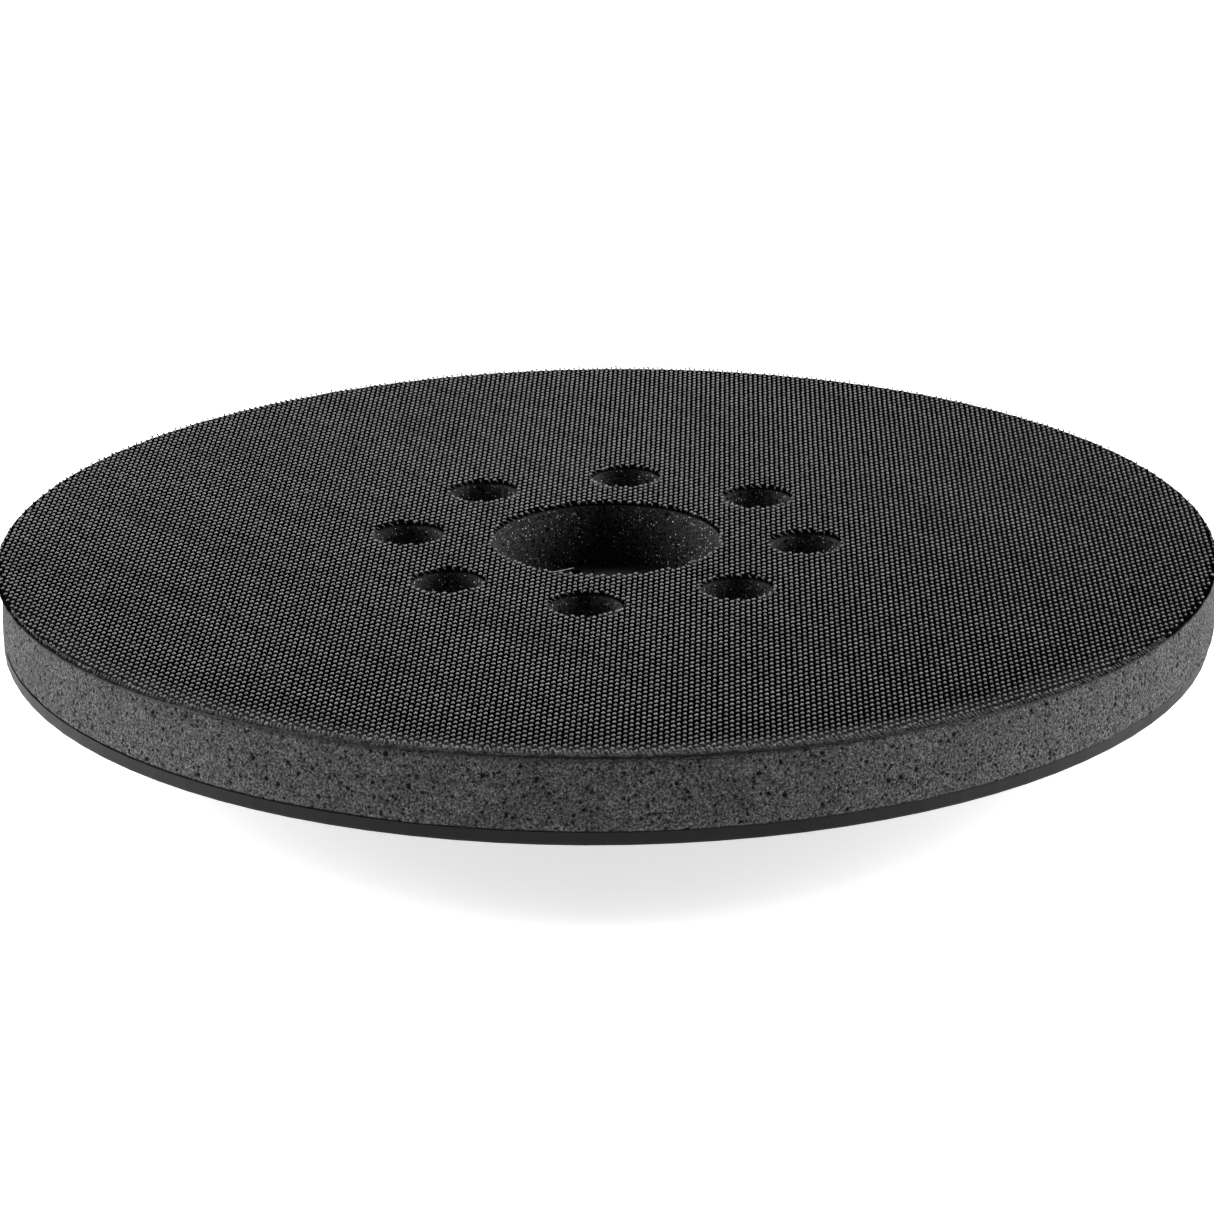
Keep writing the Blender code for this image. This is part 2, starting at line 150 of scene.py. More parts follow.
class Graph:
    """Adds nodes to a shader or geometry tree."""

    def __init__(self, tree: bpy.types.NodeTree) -> None:
        """Work on a tree."""
        self.tree = tree

    def add(
        self,
        kind: str,
        settings: dict[str, object] | None = None,
        inputs: dict[str | int, object] | None = None,
        output: str | int = 0,
    ) -> Value:
        """Add a node.

        Args:
            kind: The node's type.
            settings: The node's own settings.
            inputs: A value or a link for each socket, by name or number.
            output: Which output is wanted.

        Returns:
            The chosen output.
        """
        node = self.tree.nodes.new(kind)
        for name, value in (settings or {}).items():
            setattr(node, name, value)
        for key, value in (inputs or {}).items():
            socket = node.inputs[key]
            if isinstance(value, Value):
                self.tree.links.new(value.socket, socket)
            else:
                socket.default_value = value
        return Value(self, node.outputs[output])

    def other(self, value: Value, output: str) -> Value:
        """Another output of the node that a value comes from."""
        return Value(self, value.socket.node.outputs[output])

    def split(self, vector: Value) -> tuple[Value, Value, Value]:
        """The three parts of a vector."""
        x = self.add("ShaderNodeSeparateXYZ", None, {0: vector}, "X")
        return x, self.other(x, "Y"), self.other(x, "Z")

    def join(self, x: Value | float, y: Value | float, z: Value | float) -> Value:
        """A vector from three parts."""
        return self.add("ShaderNodeCombineXYZ", None, {"X": x, "Y": y, "Z": z})

    def noise(self, place: Value, per_mm: float, detail: float = 2.0, rough: float = 0.5) -> Value:
        """Cloudy noise around 0.5.

        Args:
            place: Where it is read, in millimetres.
            per_mm: Its scale.
            detail: How many finer layers it has.
            rough: How strong the finer layers are.
        """
        return self.add(
            "ShaderNodeTexNoise",
            {"noise_dimensions": "3D"},
            {"Vector": place, "Scale": per_mm, "Detail": detail, "Roughness": rough},
        )

    def cells(self, place: Value, cell_mm: float) -> tuple[Value, Value]:
        """Scattered cells.

        Args:
            place: Where they are read, in millimetres.
            cell_mm: The cells' usual width.

        Returns:
            The distance to the cell's centre in cell widths, and a random value for each cell.
        """
        distance = self.add(
            "ShaderNodeTexVoronoi",
            {"voronoi_dimensions": "3D", "feature": "F1"},
            {"Vector": place, "Scale": 1.0 / cell_mm, "Randomness": 1.0},
            "Distance",
        )
        chance = self.split(self.other(distance, "Color"))[0]
        return distance, chance

    def scaled(self, vector: Value, factor: float | Colour) -> Value:
        """A vector times a number, or times three."""
        by = (factor,) * 3 if isinstance(factor, (int, float)) else factor
        return self.add("ShaderNodeVectorMath", {"operation": "MULTIPLY"}, {0: vector, 1: by})

    def blend(self, share: Value, first: Value | Colour, second: Value | Colour) -> Value:
        """A colour between two colours."""
        sides = [c if isinstance(c, Value) else (*c, 1.0) for c in (first, second)]
        return self.add(
            "ShaderNodeMix", {"data_type": "RGBA"}, {0: share, 6: sides[0], 7: sides[1]}, 2
        )


class Shader(Graph):
    """The graph of one material, with its Principled shader."""

    def __init__(self, name: str) -> None:
        """Start a material of the given name."""
        self.material = bpy.data.materials.new(name)
        self.material.use_nodes = True
        super().__init__(self.material.node_tree)
        self.surface = self.tree.nodes["Principled BSDF"]
        self.place = self.scaled(self.add("ShaderNodeTexCoord", None, None, "Object"), 1 / MM)

    def set(self, **sockets: Value | float | Colour) -> None:
        """Set sockets of the Principled shader, with _ for each space in a name."""
        for name, value in sockets.items():
            socket = self.surface.inputs[name.replace("_", " ")]
            if isinstance(value, Value):
                self.tree.links.new(value.socket, socket)
            elif isinstance(value, tuple):
                socket.default_value = (*value, 1.0) if len(value) == 3 else value
            else:
                socket.default_value = value

    def bump(self, height: Value, depth_mm: float, strength: float = 1.0) -> None:
        """Raise the surface by a height from 0 to 1.

        Args:
            height: The height.
            depth_mm: How much the full height is.
            strength: How much of it shows.
        """
        normal = self.add(
            "ShaderNodeBump",
            None,
            {"Strength": strength, "Distance": depth_mm * MM, "Height": height},
            "Normal",
        )
        self.set(Normal=normal)

    def attribute(self, name: str, output: str) -> Value:
        """A value stored in the mesh."""
        return self.add("ShaderNodeAttribute", {"attribute_name": name}, None, output)


def plain_object(name: str, mesh: bpy.types.Mesh) -> bpy.types.Object:
    """Put a mesh into the scene as an object at the origin."""
    made = bpy.data.objects.new(name, mesh)
    bpy.context.collection.objects.link(made)
    return made


class GeometryTree(Graph):
    """A Geometry Nodes tree with named inputs, run once on an object."""

    def __init__(self, name: str) -> None:
        """Start a tree that takes and gives a geometry."""
        super().__init__(bpy.data.node_groups.new(name, "GeometryNodeTree"))
        self.sockets: dict[str, bpy.types.NodeTreeInterfaceSocket] = {}
        face = self.tree.interface
        face.new_socket(name="Geometry", in_out="INPUT", socket_type="NodeSocketGeometry")
        face.new_socket(name="Geometry", in_out="OUTPUT", socket_type="NodeSocketGeometry")
        self.entry = self.tree.nodes.new("NodeGroupInput")
        self.exit = self.tree.nodes.new("NodeGroupOutput")
        self.start = Value(self, self.entry.outputs["Geometry"])

    def size(self, name: str, value: float) -> Value:
        """A named number that the modifier can set.

        Args:
            name: The input's name.
            value: Its default.
        """
        socket = self.tree.interface.new_socket(
            name=name, in_out="INPUT", socket_type="NodeSocketFloat"
        )
        socket.default_value = value
        self.sockets[name] = socket
        return Value(self, self.entry.outputs[name])

    def place(self) -> Value:
        """Each point's position in metres."""
        return self.add("GeometryNodeInputPosition")

    def chance(self, low: float, high: float, salt: int) -> Value:
        """A random number for each point, always the same for the same salt."""
        return self.add(
            "FunctionNodeRandomValue",
            {"data_type": "FLOAT"},
            {2: low, 3: high, "Seed": salt},
            1,
        )

    def stored(self, name: str, kind: str = "FLOAT") -> Value:
        """Each point's value of a named attribute."""
        return self.add("GeometryNodeInputNamedAttribute", {"data_type": kind}, {"Name": name})

    def store(
        self, geometry: Value, name: str, value: Value, kind: str = "FLOAT", on: str = "INSTANCE"
    ) -> Value:
        """Keep a value in a named attribute.

        Args:
            geometry: The geometry that keeps it.
            name: The attribute's name.
            value: The value.
            kind: Its data type.
            on: The domain that it is kept on.

        Returns:
            The geometry with the attribute.
        """
        return self.add(
            "GeometryNodeStoreNamedAttribute",
            {"data_type": kind, "domain": on},
            {"Geometry": geometry, "Name": name, "Value": value},
        )

    def stand(
        self, shape: bpy.types.Object, points: Value, rotation: Value, scale: Value
    ) -> Value:
        """Stand a shape on each point.

        Args:
            shape: The object that each point gets a copy of.
            points: The points.
            rotation: How each copy is turned.
            scale: How large each copy is along its own axes.

        Returns:
            The copies.
        """
        copied = self.add("GeometryNodeObjectInfo", None, {"Object": shape}, "Geometry")
        return self.add(
            "GeometryNodeInstanceOnPoints",
            None,
            {"Points": points, "Instance": copied, "Rotation": rotation, "Scale": scale},
        )

    def end(self, geometry: Value, material: bpy.types.Material) -> None:
        """Close the tree with Realize Instances and Set Material."""
        real = self.add("GeometryNodeRealizeInstances", None, {"Geometry": geometry})
        smooth = self.add("GeometryNodeSetShadeSmooth", None, {"Geometry": real})
        dressed = self.add(
            "GeometryNodeSetMaterial", None, {"Geometry": smooth, "Material": material}
        )
        self.tree.links.new(dressed.socket, self.exit.inputs[0])

    def run(self, name: str, start: bpy.types.Mesh, **sizes: float) -> bpy.types.Object:
        """Run the tree on a mesh and keep the result as a plain object.

        Args:
            name: The new object's name.
            start: The mesh that goes in.
            **sizes: Values of the named inputs, with _ for each space.

        Returns:
            The object, at the origin and with no modifier.
        """
        carrier = plain_object(name + "_carrier", start)
        step = carrier.modifiers.new("shape", "NODES")
        step.node_group = self.tree
        for key, value in sizes.items():
            step[self.sockets[key.replace("_", " ")].identifier] = float(value)
        carrier.update_tag()
        graph = bpy.context.evaluated_depsgraph_get()
        mesh = bpy.data.meshes.new_from_object(carrier.evaluated_get(graph), depsgraph=graph)
        bpy.data.objects.remove(carrier, do_unlink=True)
        mesh.name = name
        return plain_object(name, mesh)


# ------------------------------------------------------------------------ finishes


@dataclass(frozen=True)
class HookNylon:
    """Cut nylon hooks: pale heads on stems painted near black as the shade between the hooks."""

    head: Colour = (0.2, 0.202, 0.2015)
    # painted shade: the stems are drawn near black for the shade in the gaps between the hooks
    painted_stem_shade: Colour = (0.0008, 0.0008, 0.0008)
    # the stems' own pale colour, kept near the worn rim where they are left out of the painted shade
    rim_stem: Colour = (0.06, 0.0612, 0.0606)
    band_share: float = 0.2  # how much the broad bands across the facing darken it
    dark_to: float = 0.5  # the share of a hook's height up to which it is as dark as its stem, in painted shade
    pale_from: float = 0.76  # and from which it is as pale as its head

    def make(self, root: float, top: float) -> bpy.types.Material:
        """Build the material.

        Args:
            root: The height where the hooks stand.
            top: The height of their heads.
        """
        shader = Shader("hook_nylon")
        x, y, z = shader.split(shader.place)
        height = top - root
        # painted shade: below dark_to a hook is drawn as dark as its stem
        above_stem_shade = z.step((root + self.dark_to * height) / MM, (root + self.pale_from * height) / MM)
        shade = shader.attribute("hook_shade", "Fac")
        diagonal = shader.join((x + y) * 0.55, (x - y) * 0.02, 0.0)
        bands = shader.noise(diagonal, 0.35, 3.0).step(0.35, 0.65, 1.0 - self.band_share, 1.0)
        grain = shader.noise(shader.place, 3.0, 2.0).step(0.3, 0.7, 0.85, 1.1)
        lit = above_stem_shade * shade * bands * grain
        # painted shade on the stems, except near the worn rim (hook_rim)
        low = shader.blend(shader.attribute("hook_rim", "Fac"), self.painted_stem_shade, self.rim_stem)
        shader.set(
            Base_Color=shader.blend(lit, low, self.head),
            Roughness=shader.noise(shader.place, 5.0).step(0.3, 0.7, 0.5, 0.7),
            Specular_IOR_Level=0.02,
        )
        shader.bump(shader.noise(shader.place, 14.0, 2.0), 0.03, 0.5)
        return shader.material


@dataclass(frozen=True)
class FrayedNylon:
    """Nylon threads pushed over at an edge, paler where they are scuffed; the bent threads are
    painted in shade beside the loose one.
    """

    pale: Colour = (0.4, 0.404, 0.404)
    dark: Colour = (0.002, 0.002, 0.002)

    def make(self) -> bpy.types.Material:
        """Build the material."""
        shader = Shader("frayed_nylon")
        patches = shader.noise(shader.place, 1.4, 3.0).step(0.35, 0.6, 0.35, 1.0)
        # painted shade: thread_shade draws the bent threads, which lie in the hooks' shade, darker
        # than the loose one
        lit = patches * shader.attribute("thread_shade", "Fac")
        shader.set(
            Base_Color=shader.blend(lit, self.dark, self.pale),
            Roughness=shader.noise(shader.place, 5.0).step(0.3, 0.7, 0.5, 0.7),
            Specular_IOR_Level=0.1,
        )
        shader.bump(shader.noise(shader.place, 14.0, 2.0), 0.03, 0.5)
        return shader.material


@dataclass(frozen=True)
class WovenBacking:
    """The dark ground weave that the hooks stand in, painted still darker as the shade between the
    hooks.
    """

    # painted shade: warp and weft are drawn near black for the shade between the hooks
    warp: Colour = (0.0016, 0.0016, 0.0016)
    weft: Colour = (0.0005, 0.0005, 0.0005)
    cut_edge: Colour = (0.02, 0.0203, 0.0202)
    worn_edge: Colour = (0.08, 0.081, 0.0808)
    frayed: Colour = (0.09, 0.0915, 0.091)
    rib_mm: float = 0.965  # from one rib to the next
    pick_mm: float = 0.42  # from one cross thread to the next
    frayed_mm: float = 6.0  # how far inside the hooks' edge the fraying begins

    def make(self, turn: float, root: float, field: float) -> bpy.types.Material:
        """Build the material.

        Args:
            turn: The angle of its ribs about Z.
            root: The height of its upper side; the cut edge is below it.
            field: How far from the axis the hooks reach; outside it the weave is frayed.
        """
        shader = Shader("woven_backing")
        x, y, z = shader.split(shader.place)
        across = x * math.cos(turn) + y * math.sin(turn)
        along = y * math.cos(turn) - x * math.sin(turn)
        ribs = (across * (math.tau / self.rib_mm)).sine().step(-0.8, 0.8)
        picks = (along * (math.tau / self.pick_mm) + ribs * math.pi).sine().step(-0.9, 0.9)
        weave = ribs * 0.6 + picks * 0.4
        fuzz = shader.noise(shader.place, 6.0, 4.0)
        ground = shader.blend(weave * fuzz.step(0.3, 0.7, 0.7, 1.0), self.weft, self.warp)
        threads = shader.noise(shader.place, 1.6, 2.0).step(0.4, 0.6, 0.25, 1.0)
        below = z.step(root / MM - 0.1, root / MM - 0.02, 1.0, 0.0)
        radius = (x * x + y * y).root()
        worn = (0.0 - y / radius).most(0.0)
        worn = worn * worn
        hooks_end = field / MM
        outside = radius.step(hooks_end - self.frayed_mm, hooks_end + 0.5) * worn * worn
        top_side = shader.blend(outside * threads, ground, self.frayed)
        edge = shader.blend(outside, self.cut_edge, self.worn_edge)
        shader.set(
            Base_Color=shader.blend(below, top_side, edge),
            Roughness=fuzz.step(0.3, 0.7, 0.8, 0.95),
            Specular_IOR_Level=0.0,
        )
        shader.bump(weave + fuzz * 0.3, 0.12)
        return shader.material


LARGE_PORES_MM = 2.1  # from one large pore to the next
MIDDLING_PORES_MM = 1.0
FINE_PORES_MM = 0.5


def foam_pores(graph: Graph, place_mm: Value) -> tuple[Value, Value]:
    """The pores of open-cell foam, the same in the shape and in the material.

    Args:
        graph: A shader or geometry graph.
        place_mm: The place in millimetres.

    Returns:
        How deep the surface is pitted, from 0 to about 1, and how much of that is open pore.
    """
    sway = graph.other(graph.noise(place_mm, 0.9), "Color")
    bent = graph.add(
        "ShaderNodeVectorMath", {"operation": "MULTIPLY_ADD"}, {0: sway, 1: (0.5,) * 3, 2: place_mm}
    )
    far, chance = graph.cells(bent, LARGE_PORES_MM)
    wide = chance.step(0.2, 1.0, 0.14, 0.27)
    large = far.step(wide * 0.6, wide, 1.0, 0.0)
    far, chance = graph.cells(bent, MIDDLING_PORES_MM)
    wide = chance.step(0.15, 1.0, 0.12, 0.44)
    middling = far.step(wide * 0.55, wide, 1.0, 0.0)
    far, chance = graph.cells(bent, FINE_PORES_MM)
    fine = far.step(0.15, chance.step(0.0, 1.0, 0.4, 0.8), 1.0, 0.0)
    opened = (large * 0.95).most(middling * 0.9).most(fine * 0.72)
    return large * 0.5 + middling * 0.34 + fine * 0.26, opened


@dataclass(frozen=True)
class OpenCellFoam:
    """Charcoal polyurethane foam, pitted with pores."""

    skin: Colour = (0.0335, 0.0338, 0.0338)
    strut: Colour = (0.125, 0.1265, 0.1265)
    # painted shade: the near black of the open pores, also laid on the holes' walls and at the foam's
    # foot
    painted_shade: Colour = (0.002, 0.002, 0.0021)
    # painted highlights: glint and cut_glint are bright specks of struts catching the light, brighter
    # on the holes' walls
    glint: Colour = (0.24, 0.244, 0.245)
    cut_glint: Colour = (0.9, 0.91, 0.91)
    hole_unshaded_share: float = 0.5  # how much of its colour a punched hole's wall keeps; the rest is painted shade
    glint_mm: float = 0.55  # from one glint to the next

    def make(self, holes_reach: float, foot: float) -> bpy.types.Material:
        """Build the material.

        Args:
            holes_reach: How far from the axis the punched holes reach.
            foot: The height of the foam's foot, just above which a dark band of painted shade is
                drawn.
        """
        shader = Shader("open_cell_foam")
        place = shader.scaled(shader.attribute("foam_place", "Vector"), 1 / MM)
        x, y, z = shader.split(place)
        reach = holes_reach / MM
        rim = (x * x + y * y).root().step(reach, reach + 10.0)
        depth, opened = foam_pores(shader, place)
        grain = shader.noise(place, 2.6, 3.0, 0.7)
        clouds = shader.noise(place, 0.12, 3.0)
        far, chance = shader.cells(place, self.glint_mm)
        # painted highlights: the glints
        glints = far.step(0.13, 0.25, 1.0, 0.0) * chance.step(rim.step(0.0, 1.0, 0.35, 0.7), 0.9)
        body = shader.blend(grain.step(0.42, 0.64), self.skin, self.strut)
        body = shader.blend(clouds.step(0.35, 0.7, 0.0, 0.35), body, self.skin)
        # painted shade in the open pores
        body = shader.blend(opened, body, self.painted_shade)
        # painted shade on the holes' walls, where little light reaches
        shade = rim.step(0.0, 1.0, 1.0 - self.hole_unshaded_share, 0.0)
        # painted shade: a dark band at the foam's foot, in the joint over the plate
        foot_shade = z.step(foot / MM + 0.1, foot / MM + 0.45, 0.9, 0.0)
        body = shader.blend(shade.most(foot_shade), body, self.painted_shade)
        shader.set(
            Base_Color=shader.blend(glints, body, shader.blend(rim, self.cut_glint, self.glint)),
            Roughness=0.9,
            Specular_IOR_Level=0.07,
        )
        shader.bump((1.0 - depth) + grain * 0.35, 0.22)
        return shader.material


@dataclass(frozen=True)
class MouldedNylon:
    """Black glass-filled nylon with a fine spark-eroded skin."""

    skin: Colour = (0.0095, 0.0095, 0.0097)
    scuff: Colour = (0.018, 0.018, 0.0185)

    def make(self) -> bpy.types.Material:
        """Build the material."""
        shader = Shader("moulded_nylon")
        fine = shader.noise(shader.place, 3.5, 4.0, 0.65)
        flow = shader.noise(shader.scaled(shader.place, (1.0, 1.0, 0.3)), 0.05, 3.0)
        scuffs = shader.noise(shader.scaled(shader.place, (0.15, 1.0, 1.0)), 0.8, 5.0, 0.7)
        worn = scuffs.step(0.62, 0.72, 0.0, 0.5)
        shader.set(
            Base_Color=shader.blend(worn, self.skin, self.scuff),
            Roughness=flow.step(0.3, 0.7, 0.5, 0.6) + fine.step(0.3, 0.7, 0.0, 0.08),
            Specular_IOR_Level=0.12,
        )
        shader.bump(fine, 0.03, 0.6)
        return shader.material


@dataclass(frozen=True)
class TurnedSteel:
    """Steel turned on a lathe, with fine rings round its axis."""

    colour: Colour = (0.006, 0.006, 0.0062)
    worn: Colour = (0.045, 0.045, 0.046)
    rough_low: float = 0.6
    rough_high: float = 0.8
    ring_mm: float = 0.16  # from one turned ring to the next
    wear: float = 0.35  # how much of the worn colour shows where it is marked

    def make(self) -> bpy.types.Material:
        """Build the material."""
        shader = Shader("black_turned_steel")
        x, y, z = shader.split(shader.place)
        radius = (x * x + y * y).root()
        rings = shader.noise(shader.join(radius / self.ring_mm, z / self.ring_mm, 0.0), 1.0, 3.0)
        clouds = shader.noise(shader.place, 0.35, 4.0)
        marks = shader.noise(shader.place, 2.2, 5.0, 0.7).step(0.58, 0.7, 0.0, self.wear)
        shader.set(
            Base_Color=shader.blend(marks, self.colour, self.worn),
            Metallic=0.1,
            Specular_IOR_Level=0.1,
            Roughness=(rings * 0.5 + clouds * 0.5).step(0.3, 0.7, self.rough_low, self.rough_high),
        )
        shader.bump(rings, 0.02, 0.5)
        return shader.material


@dataclass(frozen=True)
class PlatedSteel:
    """Zinc plate: faintly cloudy, with small dull spots."""

    name: str = "zinc_plated_steel"
    colour: Colour = (0.36, 0.365, 0.37)
    dull: Colour = (0.2, 0.2, 0.205)
    rough_low: float = 0.34
    rough_high: float = 0.52

    def make(self) -> bpy.types.Material:
        """Build the material."""
        shader = Shader(self.name)
        clouds = shader.noise(shader.place, 0.6, 4.0, 0.6)
        spots = shader.noise(shader.place, 4.0, 3.0).step(0.62, 0.72, 0.0, 0.6)
        shader.set(
            Base_Color=shader.blend(spots, self.colour, self.dull),
            Metallic=1.0,
            Roughness=clouds.step(0.3, 0.7, self.rough_low, self.rough_high),
        )
        shader.bump(shader.noise(shader.place, 8.0, 3.0), 0.015, 0.5)
        return shader.material


# --------------------------------------------------------------------- mesh helpers


def dressed(made: bpy.types.Object, material: bpy.types.Material) -> bpy.types.Object:
    """Give a new piece its only material and smooth shading."""
    made.data.materials.append(material)
    made.data.shade_smooth()
    made.data.set_sharp_from_angle(angle=SHARP_EDGE)
    return made


def settle(made: bpy.types.Object, body: Body, slot: Slot, *nodes: str) -> None:
    """Let a piece ride on its body and stand for CAD nodes.

    Args:
        made: The piece.
        body: The body that it rides on.
        slot: Not used.
        *nodes: The CAD nodes that it replaces.
    """
    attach(made, body.value)
    if nodes:
        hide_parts(*nodes)
    made.data.calc_loop_triangles()
    log.info("%s: %d triangles on %s", made.name, len(made.data.loop_triangles), body.value)


def ring_points(radius: float, count: int, start: float = 0.0) -> list[Point2]:
    """Points spaced evenly round a circle about the axis."""
    turns = [start + math.tau * i / count for i in range(count)]
    return [(radius * math.cos(turn), radius * math.sin(turn)) for turn in turns]


def stitch(bm: bmesh.types.BMesh, loops: Sequence[Sequence[bmesh.types.BMVert]]) -> None:
    """Join each closed loop of corners to the next one with four-sided faces."""
    for low, high in zip(loops, loops[1:]):
        for i, vert in enumerate(low):
            j = (i + 1) % len(low)
            bm.faces.new((vert, low[j], high[j], high[i]))


def finished(bm: bmesh.types.BMesh, name: str) -> bpy.types.Mesh:
    """The mesh that a bmesh has become; the bmesh is freed."""
    mesh = bpy.data.meshes.new(name)
    bm.to_mesh(mesh)
    bm.free()
    return mesh


# ------------------------------------------------------------------- sub-assemblies


@dataclass
class HoleRing:
    """The openings that the facing, the foam and the plate share."""

    centre_radius: float = 21.3 * MM
    dust_radius: float = 6.625 * MM
    ring_radius: float = 37.1 * MM
    count: int = 8

    def places(self) -> list[Point2]:
        """The dust holes' centres."""
        return ring_points(self.ring_radius, self.count)


@dataclass
class HookFacing:
    """The hook tape: a thin woven backing with rows of cut hooks."""

    holes: HoleRing
    backing_thickness: float = 0.35 * MM
    pitch_across: float = 0.972 * MM
    pitch_along: float = 1.98 * MM
    stagger: float = 0.41  # how far the next column is moved on, as a share of its pitch
    turn: float = math.radians(4.1)
    head_radius: float = 0.36 * MM  # across the columns
    head_reach: float = 0.56 * MM  # along them
    head_depth: float = 0.34 * MM
    head_notch: float = 0.4  # how far the corners on its -X side are drawn in, as a share
    stem_radius: float = 0.12 * MM
    lean: float = 0.3 * MM  # from a head's middle across to its root
    usual_lean: float = 0.035  # how far a hook leans by chance, in radians
    edge_lean: float = 0.3  # how much further it leans at an edge
    sway_lean: float = 0.3  # how far whole patches lean one way or the other
    edge_band: float = 0.8 * MM  # how wide the ring of looser hooks at each edge is
    hole_margin: float = 0.05 * MM  # from a hole's edge to the hooks
    worn_band: float = 1.2 * MM  # how wide the ring of bent hooks at the rim is
    bare_margin: float = 0.35 * MM  # from the facing's full radius in to the hooks
    worn_margin: float = 3.1 * MM  # how much more that is on the worn side, towards -Y
    worn_trim: float = 3.0 * MM  # how far the backing's rim is drawn in there
    dulled: float = 0.34  # how much darker the hooks are at the worn rim
    dulled_reach: float = 16.0 * MM
    unshaded_stem_reach: float = 12.0 * MM  # how far in from the worn rim their stems are left pale, out of the painted stem shade
    columns_reach: float = 1.04  # how far the columns are set out, as a share of the radius
    rows_reach: float = 1.05
    waver: float = 0.04 * MM  # how far the rim's cut strays for each of its waves
    waves: tuple[tuple[int, float], ...] = ((61, 0.0), (97, 2.0), (173, 1.0))  # count and phase
    strips: int = 6
    rim_sides: int = 1440
    hole_sides: int = 96
    hook_sides: int = 6
    bottom: float = field(init=False)
    top: float = field(init=False)
    radius: float = field(init=False)

    def __post_init__(self) -> None:
        """Take the facing's place from its CAD node."""
        low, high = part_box("hook_facing")
        self.bottom, self.top, self.radius = low.z, high.z, high.x

    @property
    def root(self) -> float:
        """The height that the hooks stand on."""
        return self.bottom + self.backing_thickness

    def build(self) -> None:
        """Make the backing and the hooks."""
        backing = self.make_backing()
        settle(backing, Body.PAD, Slot.HOOKS, "hook_facing")
        for piece in self.make_hooks():
            settle(piece, Body.PAD, Slot.HOOKS)
        EdgeFringe(self).build()

    def make_backing(self) -> bpy.types.Object:
        """The woven ground as one thin closed disc with its holes."""
        bm = bmesh.new()
        outlines = [self.rim_outline()]
        outlines.append(ring_points(self.holes.centre_radius, 2 * self.hole_sides))
        for x, y in self.holes.places():
            outline = ring_points(self.holes.dust_radius, self.hole_sides)
            outlines.append([(x + a, y + b) for a, b in outline])
        fill_plate(bm, outlines, self.bottom, self.root)
        weave = WovenBacking().make(self.turn, self.root, self.radius - self.worn_margin)
        return dressed(plain_object("hook_backing", finished(bm, "hook_backing")), weave)

    @staticmethod
    def worn_share(y: float) -> float:
        """How worn the rim is in a direction with this sine, from 0 to 1."""
        return max(0.0, -y) ** 4

    def rim_radius(self, y: float) -> float:
        """The backing's radius in a direction with this sine."""
        return self.radius - self.worn_trim * self.worn_share(y)

    def rim_outline(self) -> list[Point2]:
        """The backing's cut rim, which wavers a little and is drawn in on the worn side."""
        outline = []
        for x, y in ring_points(1.0, self.rim_sides):
            angle = math.atan2(y, x)
            stray = sum(math.sin(count * angle + phase) for count, phase in self.waves)
            radius = self.rim_radius(y) + self.waver * stray
            outline.append((radius * x, radius * y))
        return outline

    def hook_shape(self) -> bpy.types.Mesh:
        """One hook about its head's axis: a rounded head on a stem that leans to its root."""
        height = self.top - self.root
        low_head = height - self.head_depth
        longer = self.head_reach / self.head_radius
        rings = [
            (self.stem_radius * 1.1, 1.0, -0.05 * MM, self.lean),
            (self.stem_radius, 1.0, low_head, self.lean * 0.12),
            (self.head_radius, longer, low_head + self.head_depth * 0.45, 0.0),
            (self.head_radius * 0.68, longer, height - self.head_depth * 0.12, 0.0),
        ]
        bm = bmesh.new()
        loops = []
        for radius, stretch, z, shift in rings:
            loop = []
            for x, y in ring_points(radius, self.hook_sides, math.radians(15)):
                corner = stretch > 1 and x < 0 and abs(y) > 0.5 * radius
                share = 1.0 - self.head_notch if corner else 1.0
                loop.append(bm.verts.new((share * x + shift, share * y * stretch, z)))
            loops.append(loop)
        stitch(bm, loops)
        crown = bm.verts.new((0, 0, height))
        for i, vert in enumerate(loops[-1]):
            bm.faces.new((vert, loops[-1][(i + 1) % self.hook_sides], crown))
        bm.faces.new(list(reversed(loops[0])))
        return finished(bm, "hook")

    def column_points(self, tree: GeometryTree, turn: Value) -> Value:
        """Points in staggered columns over the whole facing.

        Args:
            tree: The tree that they are added to.
            turn: The angle of the columns about Z.
        """
        across = tree.size("Pitch Across", self.pitch_across)
        along = tree.size("Pitch Along", self.pitch_along)
        stagger = tree.size("Stagger", self.stagger)
        first = tree.size("First Column", 0.0)
        count = tree.size("Columns", 1.0)
        rows = math.ceil(2 * self.rows_reach * self.radius / self.pitch_along)
        index = tree.add("GeometryNodeInputIndex")
        column = (index / float(rows)).floor() + first
        row = index % float(rows)
        u = column * across + tree.chance(-0.035 * MM, 0.035 * MM, 1)
        v = (row - rows / 2 + (column * stagger) % 1.0) * along
        v = v + tree.chance(-0.08 * MM, 0.08 * MM, 2)
        x = u * turn.cosine() - v * turn.sine()
        y = u * turn.sine() + v * turn.cosine()
        place = tree.join(x, y, self.root)
        return tree.add(
            "GeometryNodePoints", None, {"Count": count * float(rows), "Position": place}
        )

    def from_dust_hole(self, from_axis: Value, x: Value, y: Value) -> Value:
        """The distance to the middle of the nearest dust hole.

        Args:
            from_axis: A point's distance from the axis.
            x: Its place along X.
            y: Its place along Y.
        """
        step = math.tau / self.holes.count
        folded = (y.angle_from(x) + step / 2) % step - step / 2
        hole_x = from_axis * folded.cosine() - self.holes.ring_radius
        hole_y = from_axis * folded.sine()
        return (hole_x * hole_x + hole_y * hole_y).root()

